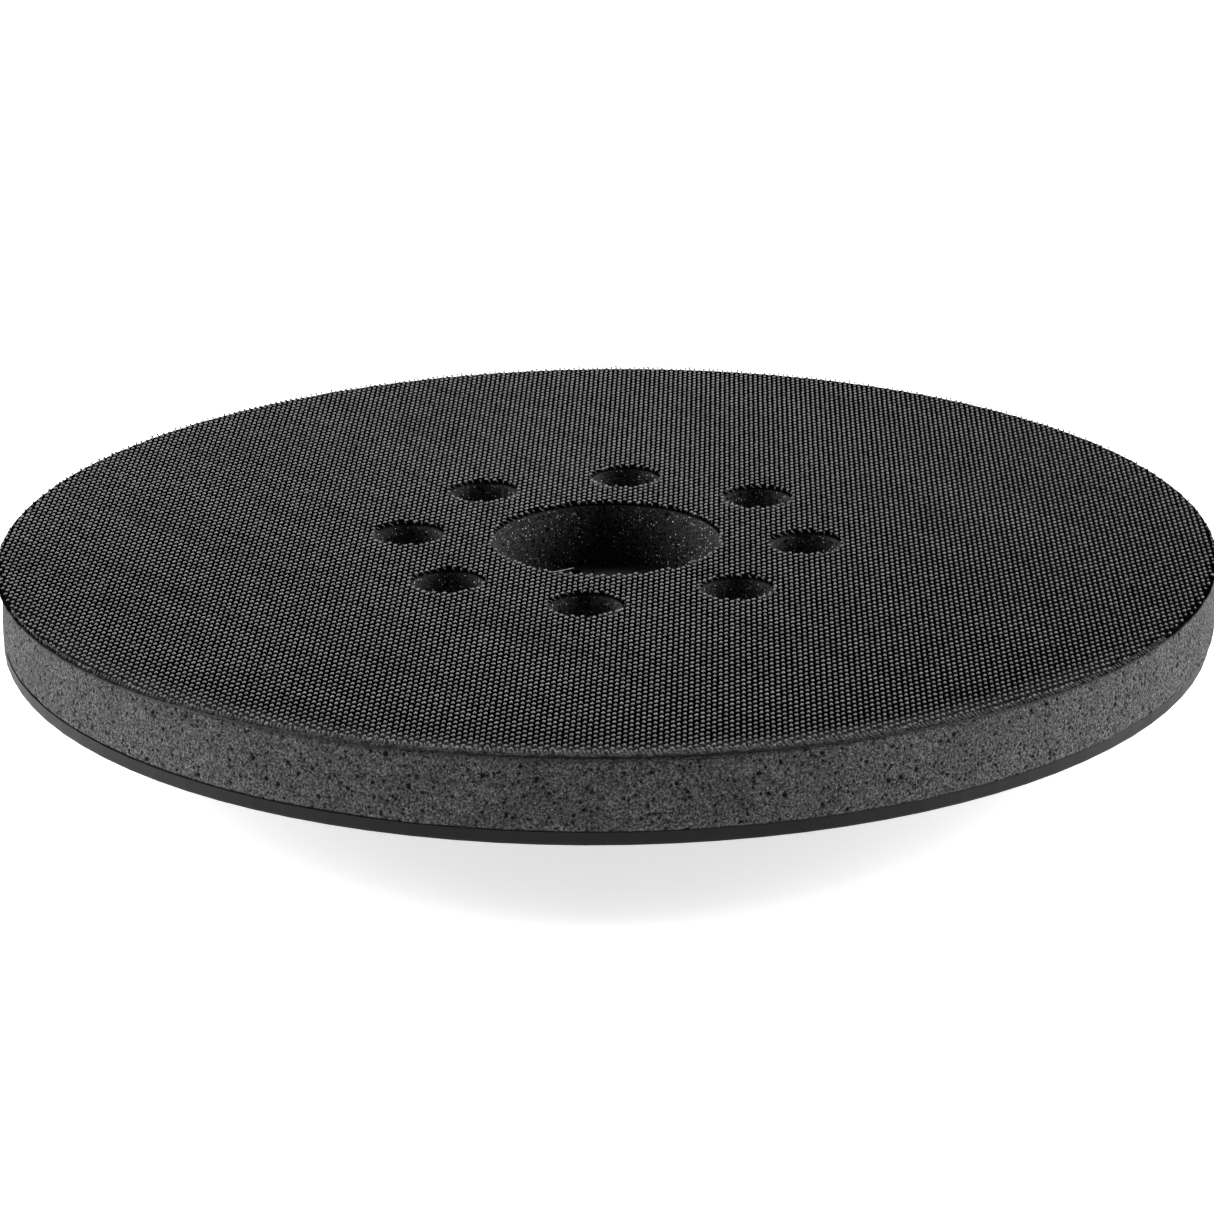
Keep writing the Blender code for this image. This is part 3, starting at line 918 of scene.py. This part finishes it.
    def hook_tree(self, hook: bpy.types.Object, material: bpy.types.Material) -> GeometryTree:
        """The tree that stands a hook on each point that is clear of the rim and the holes.

        Args:
            hook: The object that each point gets a copy of.
            material: The hooks' material.
        """
        tree = GeometryTree("hook_columns")
        turn = tree.size("Turn", self.turn)
        x, y, _ = tree.split(tree.place())
        from_axis = (x * x + y * y).root()
        worn_side = (0.0 - y / from_axis).most(0.0)
        worn_side = worn_side * worn_side
        margin = worn_side * worn_side * self.worn_margin + self.bare_margin
        to_rim = self.radius - margin - from_axis
        to_centre_hole = from_axis - (self.holes.centre_radius + self.hole_margin)
        to_dust_hole = self.from_dust_hole(from_axis, x, y) - (
            self.holes.dust_radius + self.hole_margin
        )
        inside = to_rim.least(to_centre_hole).least(to_dust_hole)
        kept = tree.add(
            "GeometryNodeDeleteGeometry",
            {"domain": "POINT"},
            {"Geometry": self.column_points(tree, turn), "Selection": 1.0 - inside.above(0.0)},
        )
        edge = inside.step(0.0, self.edge_band, 1.0, 0.0)
        worn = to_rim.step(self.worn_band * 0.6, self.worn_band, 1.0, 0.0)
        sway = tree.noise(tree.scaled(tree.place(), 1 / MM), 0.05)
        loose = edge * self.edge_lean + self.usual_lean
        swayed = (sway - 0.5) * self.sway_lean
        bent = worn * tree.chance(-0.1, 0.4, 9)
        lean_x = tree.chance(-1.0, 1.0, 3) * loose + swayed - bent * (y / from_axis)
        lean_y = tree.chance(-1.0, 1.0, 4) * loose + bent * (x / from_axis)
        spin = tree.chance(-0.3, 0.3, 5) + turn
        tall = 1.0 - worn * tree.chance(0.0, 0.15, 6)
        # the hooks lie a little narrower towards +X and +Y
        lay = x.step(-0.02, 0.1, 1.02, 0.9) * y.step(0.02, 0.11, 1.0, 0.92)
        wide = tree.chance(0.95, 1.06, 7) * lay * (1.0 - worn * tree.chance(0.0, 0.3, 10))
        rotation, scale = tree.join(lean_x, lean_y, spin), tree.join(wide, wide, tall)
        hooks = tree.stand(hook, kept, rotation, scale)
        dulled = to_rim.step(0.0, self.dulled_reach, self.dulled, 0.0) * worn_side
        # near the worn rim the stems keep their pale colour and are not painted in shade
        unshaded_rim_stems = to_rim.step(0.0, self.unshaded_stem_reach, 1.0, 0.0) * worn_side
        hooks = tree.store(hooks, "hook_shade", tree.chance(0.88, 1.08, 8) * (1.0 - dulled))
        hooks = tree.store(hooks, "hook_rim", unshaded_rim_stems)
        tree.end(hooks, material)
        return tree

    def make_hooks(self) -> list[bpy.types.Object]:
        """The hooks, in strips of whole columns."""
        hook = plain_object("hook", self.hook_shape())
        tree = self.hook_tree(hook, HookNylon().make(self.root, self.top))
        columns = 2 * math.ceil(self.columns_reach * self.radius / self.pitch_across)
        edges = self.strip_edges(columns)
        made = []
        for number, (first, after) in enumerate(zip(edges, edges[1:]), start=1):
            start = bpy.data.meshes.new("hook_strip_start")
            sizes = {"First_Column": first, "Columns": after - first}
            made.append(tree.run(f"hooks_{number}", start, **sizes))
        bpy.data.objects.remove(hook, do_unlink=True)
        return made

    def strip_edges(self, columns: int) -> list[int]:
        """Column numbers where the strips meet, so that each holds about as many hooks.

        Args:
            columns: How many columns there are.
        """
        half = columns // 2
        lengths = [
            math.sqrt(max(0.0, self.radius**2 - ((i + 0.5) * self.pitch_across) ** 2))
            for i in range(-half, half)
        ]
        total, so_far, edges = sum(lengths), 0.0, [-half]
        for offset, length in enumerate(lengths):
            so_far += length
            if so_far > total * len(edges) / self.strips and len(edges) < self.strips:
                edges.append(offset + 1 - half)
        return [*edges, half]


@dataclass
class EdgeFringe:
    """Threads of cut hooks pushed over along the facing's edges, and one loose thread."""

    facing: HookFacing
    rim_spacing: float = 0.8 * MM
    hole_spacing: float = 1.6 * MM
    least_worn: float = 0.03  # the rim has threads only where it is more worn than this
    start: float = 0.6 * MM  # from the backing up to where a thread leaves its hook
    inset: float = 0.4 * MM  # from an edge in to there
    reach: float = 0.4 * MM  # how far a thread falls towards the edge
    drop: float = 0.45 * MM
    worn_reach: float = 0.8 * MM  # how much further it falls on the rim's worn side
    slant: float = 0.5 * MM  # how far it lies over along X
    thread_radius: float = 0.12 * MM
    thread_sides: int = 5
    bent_painted_shade: float = 0.23  # painted shade: how pale the bent threads are beside the loose one, which is drawn fully lit
    loose_root: Point2 = (-8.4 * MM, -20.9 * MM)
    loose_fall: tuple[float, float, float] = (4.2 * MM, 2.8 * MM, 0.1 * MM)
    loose_from: float = 3.0 * MM  # a thread that falls further than this is the loose one

    def build(self) -> None:
        """Make the fringe as one piece."""
        thread = plain_object("thread", self.thread())
        fringe = self.tree(thread, FrayedNylon().make()).run("edge_fringe", self.roots())
        bpy.data.objects.remove(thread, do_unlink=True)
        settle(fringe, Body.PAD, Slot.HOOKS)

    def thread(self) -> bpy.types.Mesh:
        """One thread a millimetre long, upright and slightly bowed."""
        wide = self.thread_radius
        rings = [(wide, 0.0, 0.0), (wide, 0.5, 0.5), (wide * 0.9, 0.85, 0.3), (wide * 0.5, 1.0, 0.0)]
        bm = bmesh.new()
        loops = []
        for radius, share, bow in rings:
            points = ring_points(radius, self.thread_sides)
            loops.append([bm.verts.new((x + bow * wide, y, share * MM)) for x, y in points])
        stitch(bm, loops)
        bm.faces.new(list(reversed(loops[0])))
        bm.faces.new(loops[-1])
        return finished(bm, "thread")

    def roots(self) -> bpy.types.Mesh:
        """Loose points where the threads stand, with the way each one falls as "fall"."""
        facing, places, falls = self.facing, [], []
        height = facing.root + self.start
        for x, y in ring_points(1.0, round(math.tau * facing.radius / self.rim_spacing)):
            worn = facing.worn_share(y)
            if worn < self.least_worn:
                continue
            reach = self.reach + self.worn_reach * worn
            radius = facing.rim_radius(y) - self.inset - self.worn_reach * worn
            places.append((radius * x, radius * y, height))
            falls.append((reach * x, reach * y, -self.drop))
        holes = [((0.0, 0.0), facing.holes.centre_radius)]
        holes += [(centre, facing.holes.dust_radius) for centre in facing.holes.places()]
        for (centre_x, centre_y), hole_radius in holes:
            radius = hole_radius + self.inset
            for x, y in ring_points(1.0, round(math.tau * radius / self.hole_spacing)):
                places.append((centre_x + radius * x, centre_y + radius * y, height))
                falls.append((-self.reach * x, -self.reach * y, -self.drop))
        places.append((*self.loose_root, height))
        falls.append(self.loose_fall)
        mesh = bpy.data.meshes.new("fringe_roots")
        mesh.from_pydata(places, [], [])
        fall = mesh.attributes.new("fall", "FLOAT_VECTOR", "POINT")
        for item, way in zip(fall.data, falls):
            item.vector = way
        return mesh

    def tree(self, thread: bpy.types.Object, material: bpy.types.Material) -> GeometryTree:
        """The tree that stands a thread on each point and lays it over.

        Args:
            thread: The object that each point gets a copy of.
            material: The threads' material.
        """
        tree = GeometryTree("edge_fringe")
        slant = tree.size("Slant", self.slant)
        x, y, z = tree.split(tree.stored("fall", "FLOAT_VECTOR"))
        loose = (x * x + y * y).root().above(self.loose_from)
        held = 1.0 - loose
        x = x + held * slant * tree.chance(0.2, 1.4, 21)
        y = y + held * tree.chance(-0.12 * MM, 0.12 * MM, 22)
        z = z * (1.0 - held * tree.chance(0.0, 0.4, 23))
        length = (x * x + y * y + z * z).root() / MM
        turned = tree.add(
            "FunctionNodeAlignRotationToVector", {"axis": "Z"}, {"Vector": tree.join(x, y, z)}
        )
        wide = tree.chance(0.75, 1.15, 24)
        threads = tree.stand(thread, tree.start, turned, tree.join(wide, wide, length))
        # painted shade of the bent threads beside the loose one
        shade = loose * (1.0 - self.bent_painted_shade) + self.bent_painted_shade
        tree.end(tree.store(threads, "thread_shade", shade), material)
        return tree


def fill_plate(
    bm: bmesh.types.BMesh, outlines: Sequence[Sequence[Point2]], bottom: float, top: float
) -> None:
    """Fill a flat plate with holes between two heights.

    Args:
        bm: The mesh to add to.
        outlines: The outer outline and then each hole's.
        bottom: The lower face's height.
        top: The upper face's height.
    """
    rims: dict[float, list] = {bottom: [], top: []}
    for outline in outlines:
        loops = {}
        for height in (bottom, top):
            loops[height] = [bm.verts.new((x, y, height)) for x, y in outline]
            verts = loops[height]
            for i, vert in enumerate(verts):
                rims[height].append(bm.edges.new((vert, verts[(i + 1) % len(verts)])))
        stitch(bm, (loops[bottom], loops[top]))
    for edges in rims.values():
        bmesh.ops.triangle_fill(bm, edges=edges, use_beauty=True, use_dissolve=False)
    bmesh.ops.recalc_face_normals(bm, faces=bm.faces)


@dataclass
class FoamDisc:
    """The foam between facing and plate, pitted on its edge and in its holes."""

    holes: HoleRing
    facing: HookFacing
    foot_inset: float = 0.4 * MM  # from the facing's edge in to the foam's foot
    top_inset: float = 1.3 * MM  # and in to its top
    foot_rounding: float = 0.5 * MM  # how far its foot is rounded in
    foot_share: float = 0.07  # and over what share of its height
    slip: Point2 = (0.35 * MM, 0.0)  # how far off centre it is bonded
    foot_sink: float = 0.25 * MM  # how far its foot reaches down into the glue gap
    top_gap: float = 0.02 * MM  # from its top to the facing
    grain: float = 0.4 * MM  # the spacing of the points on its walls
    pore_depth: float = 0.42 * MM
    ripple: float = 0.5 * MM  # how far the walls' slow waves go from end to end

    @property
    def bottom(self) -> float:
        """The height of the foam's foot, just above the plate."""
        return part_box("foam_body")[0].z - self.foot_sink

    def build(self) -> None:
        reach = self.holes.ring_radius + self.holes.dust_radius
        material = OpenCellFoam().make(reach, self.bottom)
        disc = self.relief_tree(material).run("foam_disc", self.block())
        settle(disc, Body.PAD, Slot.FOAM, "foam_body")

    def walls(self) -> Iterable[tuple[RadiusAt, Point2, float]]:
        """Each wall as (radius by height share, centre, usual radius)."""
        outer = self.facing.radius - self.foot_inset
        total = self.top_inset - self.foot_inset

        def rim_at(share: float) -> float:
            """The outer wall's radius at a share of the foam's height."""
            rounding = max(0.0, 1.0 - share / self.foot_share)
            return outer - total * share**2 - self.foot_rounding * rounding**2

        yield rim_at, self.slip, outer
        yield (lambda share: self.holes.centre_radius), (0.0, 0.0), self.holes.centre_radius
        for centre in self.holes.places():
            yield (lambda share: self.holes.dust_radius), centre, self.holes.dust_radius

    def block(self) -> bpy.types.Mesh:
        """The smooth closed disc, fine on its walls and coarse where it is bonded."""
        bottom, top = self.bottom, self.facing.bottom - self.top_gap
        rows = max(2, round((top - bottom) / self.grain))
        bm = bmesh.new()
        free = bm.verts.layers.float.new("free")
        rims: list[list] = [[], []]
        for radius_at, (centre_x, centre_y), usual in self.walls():
            around = round(math.tau * usual / self.grain / 8) * 8
            loops = []
            for row in range(rows + 1):
                share = row / rows
                height = bottom + (top - bottom) * share
                loop = []
                for x, y in ring_points(radius_at(share), around):
                    vert = bm.verts.new((centre_x + x, centre_y + y, height))
                    vert[free] = 1.0 if 0 < row < rows else 0.0
                    loop.append(vert)
                loops.append(loop)
            stitch(bm, loops)
            for rim, loop in zip(rims, (loops[0], loops[-1])):
                rim += [bm.edges.get((loop[i], loop[(i + 1) % around])) for i in range(around)]
        for edges in rims:
            bmesh.ops.triangle_fill(bm, edges=edges, use_beauty=False, use_dissolve=False)
        bmesh.ops.recalc_face_normals(bm, faces=bm.faces)
        return finished(bm, "foam_block")

    def relief_tree(self, material: bpy.types.Material) -> GeometryTree:
        """The tree that sinks the pores into the walls.

        Args:
            material: The foam's material, which reads the same pores.
        """
        tree = GeometryTree("foam_relief")
        depth_size = tree.size("Pore Depth", self.pore_depth)
        solid = tree.store(tree.start, "foam_place", tree.place(), "FLOAT_VECTOR", "POINT")
        place_mm = tree.scaled(tree.place(), 1 / MM)
        depth, _ = foam_pores(tree, place_mm)
        ripple = tree.noise(place_mm, 0.09) - 0.5
        sink = (depth * depth_size + ripple * self.ripple) * tree.stored("free")
        along = tree.add(
            "ShaderNodeVectorMath",
            {"operation": "SCALE"},
            {0: tree.add("GeometryNodeInputNormal"), "Scale": 0.0 - sink},
        )
        moved = tree.add("GeometryNodeSetPosition", None, {"Geometry": solid, "Offset": along})
        tree.end(moved, material)
        return tree


def stacked(
    name: str, rings: Sequence[tuple[RadiusAt, float]], ends: Point2, sides: int
) -> bpy.types.Mesh:
    """A closed mesh about the axis through stacked rings.

    Args:
        name: The mesh's name.
        rings: Each ring's radius by angle, and its height, in order along the surface.
        ends: The heights of the poles before the first ring and after the last.
        sides: How many points a ring has.

    Returns:
        The mesh, with its faces outwards.
    """
    bm = bmesh.new()
    turns = [math.tau * i / sides for i in range(sides)]
    loops = []
    for radius_at, z in rings:
        loops.append(
            [bm.verts.new((radius_at(a) * math.cos(a), radius_at(a) * math.sin(a), z)) for a in turns]
        )
    stitch(bm, loops)
    for height, loop in zip(ends, (loops[0], loops[-1])):
        pole = bm.verts.new((0.0, 0.0, height))
        for i, vert in enumerate(loop):
            bm.faces.new((vert, loop[(i + 1) % sides], pole))
    bmesh.ops.recalc_face_normals(bm, faces=bm.faces)
    return finished(bm, name)


@dataclass
class CapScrew:
    """The fixing screw, with a knurled head, a hexagon socket and a rolled thread."""

    head_height: float = 5.0 * MM
    shank_radius: float = 3.9 * MM
    root_radius: float = 3.3 * MM
    pitch: float = 1.25 * MM
    plain_length: float = 2.2 * MM  # of the shank, under the head
    key_flats: float = 5.0 * MM
    key_depth: float = 3.0 * MM
    key_point: float = 0.8 * MM  # how much deeper the drill's point went
    knurl: float = 0.12 * MM
    flank: float = 1.35  # how steep the thread's flanks are
    trough: float = 0.12  # how flat its trough is
    sides: int = 96
    rows_per_pitch: int = 10

    def build(self, finish: bpy.types.Material) -> None:
        """Make the screw in its CAD node's place.

        Args:
            finish: Its material.
        """
        low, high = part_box("fixing_screw")
        rings = self.head_rings(high.x, high.z) + self.shank_rings(low.z, high.z - self.head_height)
        ends = (high.z - self.key_depth - self.key_point, low.z)
        screw = plain_object("cap_screw", stacked("cap_screw", rings, ends, self.sides))
        settle(dressed(screw, finish), Body.SCREW, Slot.ZINC, "fixing_screw")

    def key_radius(self, angle: float) -> float:
        """The hexagon socket's radius in a direction."""
        sector = math.tau / 6
        return 0.5 * self.key_flats / math.cos((angle % sector) - sector / 2)

    def head_rings(self, radius: float, top: float) -> list[tuple[RadiusAt, float]]:
        """The socket and the head, from the socket's floor out and down to the shank.

        Args:
            radius: The head's radius.
            top: The head's upper height.
        """
        tooth = math.tau / self.sides
        corner = 0.5 * self.key_flats / math.cos(math.pi / 6)
        under = top - self.head_height

        def round_at(value: float) -> RadiusAt:
            """A plain circle."""
            return lambda angle: value

        def knurled(angle: float) -> float:
            """The knurl's radius, with every other point drawn in."""
            return radius - (self.knurl if round(angle / tooth) % 2 else 0.0)

        return [
            (lambda angle: 0.5 * self.key_radius(angle), top - self.key_depth - 0.3 * MM),
            (self.key_radius, top - self.key_depth),
            (self.key_radius, top - 0.25 * MM),
            (round_at(corner + 0.15 * MM), top),
            (round_at(radius - 0.65 * MM), top),
            (round_at(radius - 0.3 * MM), top - 0.12 * MM),
            (round_at(radius - 0.12 * MM), top - 0.45 * MM),
            (knurled, top - 0.7 * MM),
            (knurled, under + 0.6 * MM),
            (round_at(radius - 0.12 * MM), under + 0.4 * MM),
            (round_at(radius - 0.35 * MM), under),
            (round_at(self.shank_radius + 0.3 * MM), under),
            (round_at(self.shank_radius), under - 0.3 * MM),
        ]

    def shank_rings(self, tip: float, under: float) -> list[tuple[RadiusAt, float]]:
        """The threaded shank, from under the head down to its chamfered tip.

        Args:
            tip: The shank's lower end.
            under: The head's lower side.
        """
        start, end = under - self.plain_length, tip + 0.15 * MM
        rows = math.ceil((start - end) / self.pitch * self.rows_per_pitch)

        def thread_at(z: float) -> RadiusAt:
            """The thread's cross-section at a height."""
            run_out = min(1.0, (start - z) / self.pitch)
            chamfer = max(0.0, 0.7 * MM - (z - tip))

            def radius_at(angle: float) -> float:
                """Its radius in a direction."""
                wave = abs(2.0 * ((z / self.pitch - angle / math.tau) % 1.0) - 1.0)
                crest = min(1.0, max(0.0, wave * self.flank - self.trough))
                dip = (self.shank_radius - self.root_radius) * run_out * (1.0 - crest)
                return min(self.shank_radius - dip, self.shank_radius - chamfer)

            return radius_at

        heights = [start + (end - start) * row / rows for row in range(rows + 1)]
        rings = [(thread_at(z), z) for z in heights]
        rings.append((lambda angle: self.root_radius - 0.3 * MM, tip))
        return rings


def dress_cad_nodes(zinc: bpy.types.Material) -> None:
    """Give the CAD nodes that stay their finished materials.

    Args:
        zinc: The plated steel of the washer and the fixing screw.
    """
    spring = PlatedSteel("spring_steel", (0.3, 0.3, 0.31), (0.2, 0.2, 0.2))
    finishes = {
        "backing_plate": MouldedNylon().make(),
        "drive_hub": TurnedSteel().make(),
        "clamp_washer": zinc,
        "lock_washer": spring.make(),
    }
    for number in range(1, HUB_SCREW_COUNT + 1):
        finishes[f"hub_screw_{number}"] = finishes["drive_hub"]
    for name, finish in finishes.items():
        node = bpy.data.objects[name]
        for slot in node.material_slots:
            slot.material = finish


# -------------------------------------------------------------------------- studio


@dataclass
class Studio:
    """A pale floor, soft lights and the camera."""

    facing: HookFacing
    lens_mm: float = 130.6
    distance: float = 0.8176
    azimuth: float = math.radians(5.82)
    elevation: float = math.radians(18.6)
    roll: float = math.radians(-0.565)
    shift: Point2 = (0.0007, -0.0585)
    floor_size: float = 8.0
    floor_glow: float = 0.65
    surround: float = 0.06  # how strong the even light from all sides is
    side_power: float = 28.0
    back_power: float = 34.0

    def build(self) -> None:
        """Set the stage."""
        self.add_camera()
        self.add_floor()
        self.add_world()
        self.add_softbox("left_softbox", (-1.1, 0.15, 0.4), (0.8, 0.8), self.side_power)
        self.add_softbox("right_softbox", (1.1, 0.15, 0.4), (0.8, 0.8), self.side_power)
        self.add_softbox("back_softbox", (0.0, 1.1, 1.1), (1.6, 0.9), self.back_power)

    def add_camera(self) -> None:
        """The camera looks at the middle of the hook face."""
        turn, rise = self.azimuth, self.elevation
        back = Vector(
            (math.sin(turn) * math.cos(rise), -math.cos(turn) * math.cos(rise), math.sin(rise))
        )
        data = bpy.data.cameras.new("camera")
        data.lens, data.sensor_width = self.lens_mm, 36.0
        data.shift_x, data.shift_y = self.shift
        camera = bpy.data.objects.new("camera", data)
        bpy.context.collection.objects.link(camera)
        facing = (-back).to_track_quat("-Z", "Y").to_matrix().to_4x4()
        place = Matrix.Translation(Vector((0, 0, self.facing.top)) + back * self.distance)
        camera.matrix_world = place @ facing @ Matrix.Rotation(self.roll, 4, "Z")
        bpy.context.scene.camera = camera

    def add_floor(self) -> None:
        """A wide pale floor under the pad, faintly lit from below as a light table is."""
        bm = bmesh.new()
        bmesh.ops.create_grid(bm, x_segments=1, y_segments=1, size=self.floor_size)
        mesh = finished(bm, "floor")
        shader = Shader("pale_floor")
        tone = shader.noise(shader.place, 0.004, 2.0).step(0.3, 0.7, 0.9, 0.93)
        shader.set(
            Base_Color=shader.join(tone, tone, tone),
            Roughness=0.9,
            Specular_IOR_Level=0.1,
            Emission_Color=(1.0, 1.0, 1.0),
            Emission_Strength=self.floor_glow,
        )
        floor = plain_object("floor", mesh)
        mesh.materials.append(shader.material)

    def add_world(self) -> None:
        """An even white surround."""
        world = bpy.data.worlds.new("surround")
        bpy.context.scene.world = world
        world.use_nodes = True
        background = world.node_tree.nodes["Background"]
        background.inputs["Color"].default_value = (1.0, 1.0, 1.0, 1.0)
        background.inputs["Strength"].default_value = self.surround

    def add_softbox(
        self, name: str, place: tuple[float, float, float], size: Point2, power: float
    ) -> None:
        """A rectangular soft light aimed at the pad.

        Args:
            name: The light's name.
            place: Where it stands, as the camera sees left and right.
            size: Its width and height.
            power: Its power in watts.
        """
        data = bpy.data.lights.new(name, "AREA")
        data.shape, data.size, data.size_y, data.energy = "RECTANGLE", size[0], size[1], power
        light = bpy.data.objects.new(name, data)
        bpy.context.collection.objects.link(light)
        spot = Matrix.Rotation(self.azimuth, 4, "Z") @ Vector(place)
        aim = Vector((0, 0, self.facing.top)) - spot
        light.matrix_world = (
            Matrix.Translation(spot) @ aim.to_track_quat("-Z", "Y").to_matrix().to_4x4()
        )


def main() -> None:
    """Build the pad's looks and the studio."""
    logging.basicConfig(level=logging.INFO, format="%(name)s: %(message)s")
    bpy.context.scene.view_settings.view_transform = "Standard"
    holes = HoleRing()
    facing = HookFacing(holes)
    Studio(facing).build()
    foam = FoamDisc(holes, facing)
    foam.build()
    facing.build()
    zinc = PlatedSteel().make()
    CapScrew().build(zinc)
    dress_cad_nodes(zinc)


if __name__ == "__main__":
    main()
